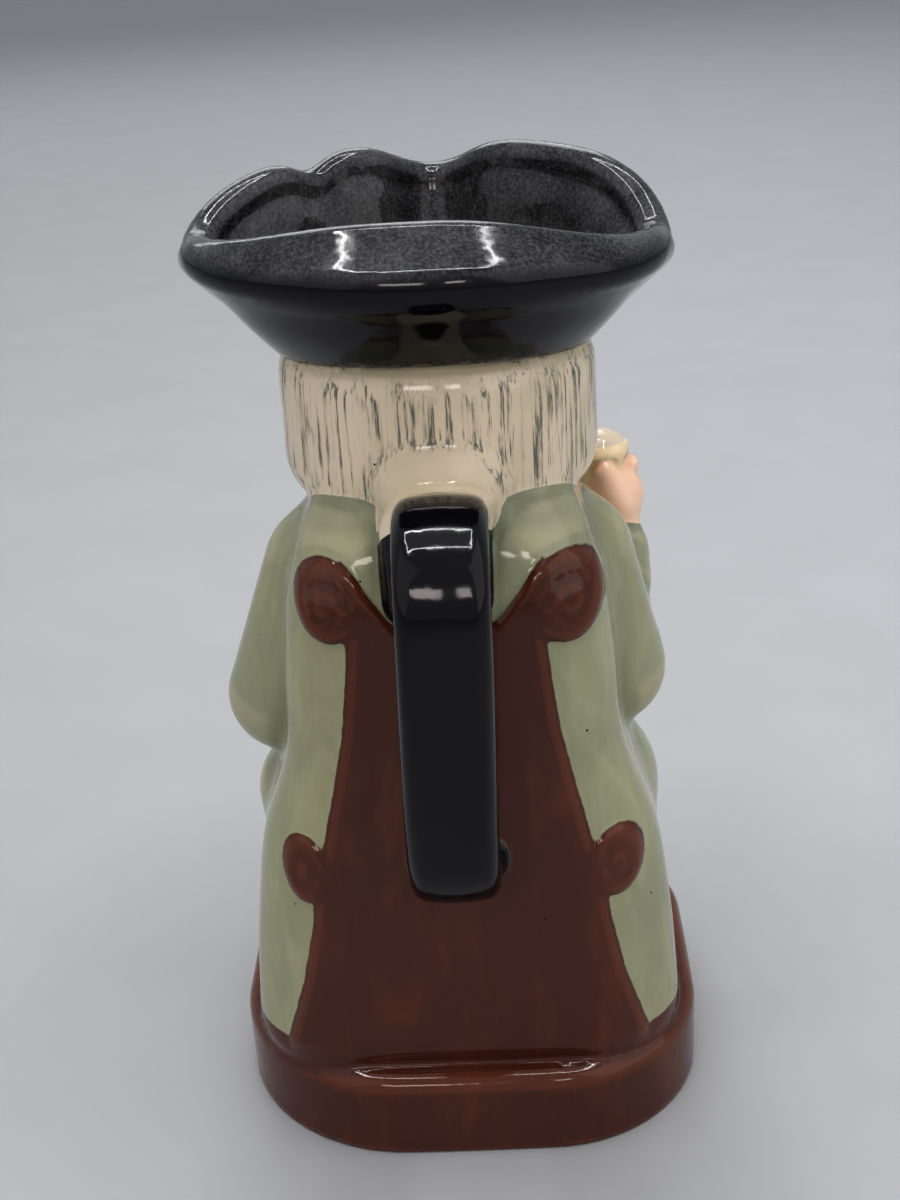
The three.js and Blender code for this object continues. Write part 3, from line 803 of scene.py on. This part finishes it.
def make_jug():
    """The jug's mesh, with its normals and, at each point, the values that its paint needs."""
    field, room = jug_field()
    mesh, points = skin_mesh(field)
    obj = reduced(mesh, detail_wanted(points))
    mesh = obj.data
    mesh.validate()  # drops the few doubled faces that thinning can leave
    at = np.empty(len(mesh.vertices) * 3, np.float32)
    mesh.vertices.foreach_get("co", at)
    at = at.reshape(-1, 3) / MM
    for _ in range(2):  # bring every point back to the surface
        normals = slope(field, at)
        at = at - normals * np.clip(sample(field, at), -0.3, 0.3)[:, None]
    at[:, 2] = np.maximum(at[:, 2], 0)
    normals = slope(field, at, STEP * 0.8)
    mesh.vertices.foreach_set("co", (at * MM).astype(np.float32).ravel())
    mesh.update()
    mesh.polygons.foreach_set("use_smooth", np.ones(len(mesh.polygons), bool))
    mesh.normals_split_custom_set_from_vertices(normals.tolist())
    layers = paint_zones(at, room)
    layers["crevice"] = crevice(field, at, normals)
    layers["ridge"] = ridge(field, at)
    layers["level"] = np.abs(normals[:, 2])
    inward = -(normals[:, :2] * at[:, :2]).sum(axis=1) / np.maximum(np.hypot(at[:, 0], at[:, 1]), 1)
    in_hat = ease(at[:, 2], HAT["foot"] + 2, HAT["foot"] + 10)
    # Faces that look up or into the hat: where dust lies and where a grey reflection is painted.
    layers["dust_and_sheen"] = clamp(normals[:, 2] + 0.5 * clamp(inward)) * in_hat
    for name, value in layers.items():
        layer = mesh.attributes.new(name, "FLOAT", "POINT")
        layer.data.foreach_set("value", np.clip(value, -6, 6).astype(np.float32))
    return obj


# ---- Materials ----
class Nodes:
    """Short names for building a node tree."""

    def __init__(self, name):
        self.material = bpy.data.materials.new(name)
        self.material.use_nodes = True
        self.tree = self.material.node_tree
        self.shader = self.tree.nodes["Principled BSDF"]

    def new(self, kind, **settings):
        node = self.tree.nodes.new(kind)
        for key, value in settings.items():
            setattr(node, key, value)
        return node

    def plug(self, socket, value):
        if isinstance(value, bpy.types.NodeSocket):
            self.tree.links.new(value, socket)
        else:
            socket.default_value = value

    def attribute(self, name):
        return self.new("ShaderNodeAttribute", attribute_name=name).outputs["Fac"]

    def math(self, operation, *values):
        node = self.new("ShaderNodeMath", operation=operation)
        for socket, value in zip(node.inputs, values):
            self.plug(socket, value)
        return node.outputs[0]

    def spread(self, value, low, high, to_low=0.0, to_high=1.0):
        node = self.new("ShaderNodeMapRange", interpolation_type="SMOOTHSTEP")
        for key, setting in (("Value", value), ("From Min", low), ("From Max", high),
                             ("To Min", to_low), ("To Max", to_high)):
            self.plug(node.inputs[key], setting)
        return node.outputs["Result"]

    def mix(self, share, a, b, how="MIX"):
        node = self.new("ShaderNodeMix", data_type="RGBA", blend_type=how)
        self.plug(node.inputs["Factor"], share)
        self.plug(node.inputs[6], a)
        self.plug(node.inputs[7], b)
        return node.outputs[2]

    def noise(self, size, detail=3.0, roughness=0.5, stretch=(1, 1, 1), distortion=0.0):
        """Noise whose features are about size millimetres across."""
        place = self.new("ShaderNodeMapping", vector_type="POINT")
        self.plug(place.inputs["Vector"], self.new("ShaderNodeTexCoord").outputs["Object"])
        place.inputs["Scale"].default_value = [s / (size * MM) for s in stretch]
        node = self.new("ShaderNodeTexNoise")
        self.plug(node.inputs["Vector"], place.outputs["Vector"])
        node.inputs["Scale"].default_value = 1.0
        node.inputs["Detail"].default_value = detail
        node.inputs["Roughness"].default_value = roughness
        node.inputs["Distortion"].default_value = distortion
        return node.outputs["Fac"]


COLOURS = {name: (*paint, 1) for name, paint in dict(
    coat=(0.33, 0.33, 0.21), coat_thin=(0.45, 0.445, 0.295), coat_cool=(0.255, 0.285, 0.218),
    coat_pool_shade=(0.14, 0.15, 0.088), coat_ridge_highlight=(0.50, 0.47, 0.32),
    cream=(0.81, 0.70, 0.55), cream_pool=(0.60, 0.53, 0.37), streak=(0.085, 0.095, 0.08),
    brown=(0.090, 0.030, 0.020), brown_thin=(0.135, 0.042, 0.024), brown_ridge=(0.22, 0.07, 0.032),
    black=(0.006, 0.006, 0.008), black_thin=(0.10, 0.085, 0.068), dust_and_sheen=(0.13, 0.13, 0.135),
    skin=(0.95, 0.66, 0.49), cheek=(0.80, 0.30, 0.21), lips=(0.62, 0.25, 0.19),
    waistcoat=(0.50, 0.32, 0.10), breeches=(0.085, 0.03, 0.035), white=(0.74, 0.69, 0.60),
    gold=(0.60, 0.35, 0.10), ale=(0.55, 0.30, 0.13), gilt=(0.98, 0.80, 0.53),
    iris=(0.10, 0.055, 0.03), brow=(0.12, 0.085, 0.06),
).items()}
GLAZE_IOR = 1.5


def glazed_paint():
    """The whole jug's paint under its glaze: each layer of colour is laid over the ones before it."""
    n = Nodes("glazed_paint")
    crease, thin = n.attribute("crevice"), n.attribute("ridge")
    wobble = n.math("MULTIPLY", n.math("SUBTRACT", n.noise(1.6, 4, 0.6), 0.5), 0.9)

    def zone(name, bias=0.0, soft=0.10, wander=0.45):
        """Share of a paint: its zone grown by bias, with an edge that is soft and wanders."""
        edge = n.math("ADD", n.attribute(name), n.math("MULTIPLY", wobble, wander))
        return n.spread(n.math("ADD", edge, bias), -soft, soft)

    # Coat: a thin wash, brushed on, pale over ridges and deep in the folds.
    brushing = n.noise(5.5, 4, 0.55, (1, 1, 0.4), 0.6)
    patches = n.noise(17.0, 3, 0.5, (1, 1, 0.6))
    wash = n.mix(n.spread(brushing, 0.35, 0.75, 0.0, 0.6), COLOURS["coat"], COLOURS["coat_thin"])
    wash = n.mix(n.spread(patches, 0.4, 0.7, 0.0, 0.6), wash, COLOURS["coat_cool"])
    # Paler over ridges: glaze running thin, and a painted highlight.
    wash = n.mix(n.spread(thin, 0.2, 0.85, 0.0, 0.6), wash, COLOURS["coat_ridge_highlight"])
    # Darker in the folds: pooled glaze and painted shade.
    colour = n.mix(n.spread(crease, 0.42, 0.95, 0.0, 0.75), wash, COLOURS["coat_pool_shade"])

    # Chair and foot: thick chestnut, redder where it is thin.
    brushed = n.spread(n.noise(7.0, 4, 0.6, (1, 1, 0.3), 0.5), 0.45, 0.8)
    chestnut = n.mix(brushed, COLOURS["brown"], COLOURS["brown_thin"])
    chestnut = n.mix(n.spread(thin, 0.35, 1.0, 0.0, 0.3), chestnut, COLOURS["brown_ridge"])
    colour = n.mix(zone("chair"), colour, chestnut)

    # Clothes of the front: each colour has a darker copy, laid in random patches, and in the creases as
    # pooled glaze and painted shade.
    folds = n.noise(3.0, 3, 0.5, (1, 1, 0.5))
    for name, paint in (("waistcoat", "waistcoat"), ("breeches", "breeches"), ("stockings", "white"),
                        ("neckcloth", "white"), ("froth", "cream"), ("mug", "ale"), ("beaker", "gilt")):
        base = COLOURS[paint]
        deep = tuple(c * 0.55 for c in base[:3]) + (1,)
        shade = n.mix(n.spread(folds, 0.3, 0.75, 0.0, 0.3), base, deep)
        shade = n.mix(n.spread(crease, 0.5, 1.0, 0.0, 0.8), shade, deep)
        colour = n.mix(zone(name, 0.1, wander=0.15), colour, shade)
    colour = n.mix(zone("shoes", 0.1), colour, COLOURS["black"])
    colour = n.mix(zone("gilding", 0.05, wander=0.1), colour, COLOURS["gold"])

    # Skin, with a blush on the cheeks, and redder in the creases as painted shade.
    flesh = n.mix(n.spread(n.attribute("cheek"), -3.5, 3.5, 0.0, 0.6), COLOURS["skin"], COLOURS["cheek"])
    flesh = n.mix(n.spread(crease, 0.5, 1.0, 0.0, 0.28), flesh, COLOURS["cheek"])
    colour = n.mix(zone("skin", 0.05, wander=0.12), colour, flesh)
    colour = n.mix(zone("lips", 0.0, wander=0.1), colour, COLOURS["lips"])
    eye = n.mix(zone("iris", wander=0.05), COLOURS["white"], COLOURS["iris"])
    eye = n.mix(zone("pupil", wander=0.05), eye, COLOURS["black"])
    colour = n.mix(zone("eyes", 0.0, wander=0.05), colour, eye)
    colour = n.mix(n.spread(n.attribute("brow"), -0.45, 0.5, 0.0, 0.72), colour, COLOURS["brow"])

    # Hair: cream, with dry-brushed strokes of grey-green and black down its length.
    strokes = n.spread(n.noise(0.9, 3, 0.65, (1, 1, 0.05), 0.5), 0.43, 0.66)
    finer = n.spread(n.noise(0.34, 3, 0.7, (1, 1, 0.08), 0.2), 0.34, 0.62, 0.25, 1.0)
    clusters = n.spread(n.noise(5.0, 3, 0.6, (1, 1, 0.4)), 0.34, 0.57, 0.15, 1.0)
    drag = n.math("MULTIPLY", n.math("MULTIPLY", strokes, finer), clusters)
    drag = n.math("MULTIPLY", drag, n.spread(n.attribute("handle_root"), -3.5, -0.5, 1.0, 0.05))
    drag = n.math("MULTIPLY", drag, n.spread(n.attribute("level"), 0.25, 0.6, 1.0, 0.0))
    cloudy = n.spread(n.noise(12.0, 2, 0.5), 0.4, 0.7, 0.0, 0.5)
    cream = n.mix(cloudy, COLOURS["cream"], COLOURS["cream_pool"])
    # Darker cream in the creases: pooled glaze and painted shade.
    cream = n.mix(n.spread(crease, 0.45, 0.95, 0.0, 0.7), cream, COLOURS["cream_pool"])
    locks = n.mix(n.spread(drag, 0.0, 0.75, 0.0, 0.85), cream, COLOURS["streak"])
    colour = n.mix(zone("hair", 0.1), colour, locks)

    # Inside: cream glaze below the hat.
    colour = n.mix(zone("inside", 0.0, 0.4), colour, COLOURS["cream"])

    # Hat and handle: black, thinning to brown at the very edge, and greyed on the brim's upward and inward
    # faces with fine dust and a painted grey reflection.
    jet = n.mix(n.spread(n.attribute("black"), 0.0, 0.45), COLOURS["black_thin"], COLOURS["black"])
    grains = n.spread(n.noise(0.5, 4, 0.7), 0.35, 0.75)
    grains = n.math("ADD", grains, n.spread(n.noise(9.0, 3, 0.6), 0.35, 0.7, 0.0, 0.5))
    # Grey over the black: fine dust together with a painted reflection.
    dust_and_sheen = n.math("MULTIPLY", n.spread(n.attribute("dust_and_sheen"), 0.1, 0.9, 0.0, 0.72), grains)
    jet = n.mix(dust_and_sheen, jet, COLOURS["dust_and_sheen"])
    colour = n.mix(zone("black", 0.0, 0.12, 0.3), colour, jet)

    # A few pinholes.
    dots = n.new("ShaderNodeTexVoronoi", feature="F1")
    n.plug(dots.inputs["Vector"], n.new("ShaderNodeTexCoord").outputs["Object"])
    dots.inputs["Scale"].default_value = 1 / (5.5 * MM)
    speck = n.math("LESS_THAN", dots.outputs["Distance"], 0.035)
    rare = n.math("GREATER_THAN", n.noise(14.0, 1, 0.5), 0.53)
    colour = n.mix(n.math("MULTIPLY", speck, rare), colour, COLOURS["black"])

    # The glaze: glossy, duller under dust, and a little uneven.
    n.plug(n.shader.inputs["Base Color"], colour)
    dulled = n.math("MULTIPLY", n.spread(n.attribute("dust_and_sheen"), 0.2, 0.9), 0.03)
    gloss = n.spread(n.noise(6.0, 3, 0.6), 0.3, 0.7, 0.06, 0.12)
    n.plug(n.shader.inputs["Roughness"], n.math("ADD", gloss, dulled))
    n.shader.inputs["IOR"].default_value = GLAZE_IOR
    bump = n.new("ShaderNodeBump")
    bump.inputs["Strength"].default_value = 0.12
    bump.inputs["Distance"].default_value = 0.4 * MM
    fine = n.math("MULTIPLY", n.noise(0.8, 2, 0.5), 0.06)
    n.plug(bump.inputs["Height"], n.math("ADD", n.noise(4.0, 2, 0.5), fine))
    n.plug(n.shader.inputs["Normal"], bump.outputs["Normal"])
    return n.material


# ---- Studio ----
def studio():
    """A round sheet of pale paper with painted light: lighter towards the figure's right and darker towards
    its left near the jug, evening out further away.
    """
    mesh = bpy.data.meshes.new("paper")
    around = 96
    rings = [0.1, 0.3, 0.8, 2.0, 6.0]
    verts = [(0, 0, 0)]
    for ring in rings:
        verts += [(ring * math.cos(2 * math.pi * i / around), ring * math.sin(2 * math.pi * i / around), 0)
                  for i in range(around)]
    faces = [(0, 1 + i, 1 + (i + 1) % around) for i in range(around)]
    for k in range(len(rings) - 1):
        a, b = 1 + k * around, 1 + (k + 1) * around
        faces += [(a + i, b + i, b + (i + 1) % around, a + (i + 1) % around) for i in range(around)]
    mesh.from_pydata(verts, [], faces)
    paper = bpy.data.objects.new("paper", mesh)
    bpy.context.scene.collection.objects.link(paper)
    n = Nodes("pale_paper")
    place = n.new("ShaderNodeTexCoord").outputs["Object"]
    away = n.new("ShaderNodeVectorMath", operation="LENGTH")
    n.plug(away.inputs[0], place)
    # Painted light: near the jug the paper is lighter towards the figure's right and darker towards its
    # left, and it evens out further away.
    left, right, far = (0.385, 0.388, 0.396, 1), (0.475, 0.482, 0.497, 1), (0.44, 0.45, 0.465, 1)
    across = n.new("ShaderNodeSeparateXYZ")
    n.plug(across.inputs[0], place)
    near = n.mix(n.spread(across.outputs["X"], -0.3, 0.3), right, left)
    painted_light = n.mix(n.spread(away.outputs["Value"], 0.3, 1.6), near, far)
    grain = n.spread(n.noise(30.0, 3, 0.5), 0.3, 0.7, 0.97, 1.0)
    n.plug(n.shader.inputs["Base Color"], n.mix(1.0, painted_light, grain, "MULTIPLY"))
    n.shader.inputs["Roughness"].default_value = 0.6
    paper.data.materials.append(n.material)


def lamp(name, place, aim, size, radiance, colour=(1, 1, 1)):
    """A rectangular light whose surface is as bright whatever its size."""
    data = bpy.data.lights.new(name, "AREA")
    data.shape = "RECTANGLE"
    data.size, data.size_y = size
    data.energy = radiance * size[0] * size[1] * math.pi
    data.color = colour
    obj = bpy.data.objects.new(name, data)
    obj.location = place
    obj.rotation_euler = (Vector(aim) - Vector(place)).to_track_quat("-Z", "Y").to_euler()
    bpy.context.scene.collection.objects.link(obj)


def lights():
    middle = (0, 0, 0.07)
    down = Vector((0, 0, -1))
    # A panel overhead with bright bars round its rim.
    wide, deep, high, bar, bar_radiance = 0.47, 0.36, 0.75, 0.013, 34
    centre = Vector((0.02, 0.0, high))
    lamp("panel", centre, centre + down, (wide, deep), 0.3)
    for s in (-1, 1):
        long_bar = centre + Vector((0, s * deep / 2, -0.002))
        side_bar = centre + Vector((s * wide / 2, 0, -0.002))
        lamp("bar_y%d" % s, long_bar, long_bar + down, (wide, bar), bar_radiance)
        lamp("bar_x%d" % s, side_bar, side_bar + down, (bar, deep), bar_radiance)
    # Two warm patches behind the camera, and wide soft lights from the sides and the front.
    for s in (-1, 1):
        size = (0.16 + s * 0.05, 0.09)
        lamp("patch%d" % s, (s * 0.13, 0.62, 0.36), middle, size, 5.5, (1, 0.9, 0.86))
    lamp("side_left", (1.4, 0.9, 1.0), middle, (2.0, 2.0), 0.25)
    lamp("side_right", (-1.4, 0.7, 1.0), middle, (2.0, 2.0), 0.48)
    lamp("front", (0.2, -1.1, 0.9), middle, (0.9, 0.7), 1.8)
    world = bpy.data.worlds.new("room")
    world.use_nodes = True
    room_light = world.node_tree.nodes["Background"].inputs
    room_light["Color"].default_value = (0.94, 0.96, 1.0, 1)
    room_light["Strength"].default_value = 0.37
    bpy.context.scene.world = world
    bpy.context.scene.view_settings.view_transform = "Standard"
    bpy.context.scene.view_settings.look = "High Contrast"


# The camera stands behind the jug and looks down on it, as the photo's does.
# Angles are in degrees, the lens in millimetres, and back and up in metres.
CAMERA = dict(pitch=24, roll=-3.27, turn=1.93, lens=51.8, back=0.238, up=0.182)


def camera():
    pitch, roll, turn = (math.radians(CAMERA[key]) for key in ("pitch", "roll", "turn"))
    ahead = Vector((0, -math.cos(pitch), -math.sin(pitch)))
    right = Vector((-1, 0, 0))
    down = ahead.cross(right)
    across = math.cos(roll) * right - math.sin(roll) * down
    below = math.sin(roll) * right + math.cos(roll) * down
    tilt = Matrix((across, -below, -ahead)).transposed().to_4x4()
    spin = Matrix.Rotation(turn, 4, "Z")
    data = bpy.data.cameras.new("camera")
    data.sensor_width = 36
    data.lens = CAMERA["lens"]
    data.clip_start = 0.01
    obj = bpy.data.objects.new("camera", data)
    obj.matrix_world = spin @ Matrix.Translation((0, CAMERA["back"], CAMERA["up"])) @ tilt
    bpy.context.scene.collection.objects.link(obj)
    bpy.context.scene.camera = obj


camera()
studio()
lights()
jug = make_jug()
jug.data.materials.append(glazed_paint())
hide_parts("toby_jug")
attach(jug, "root")
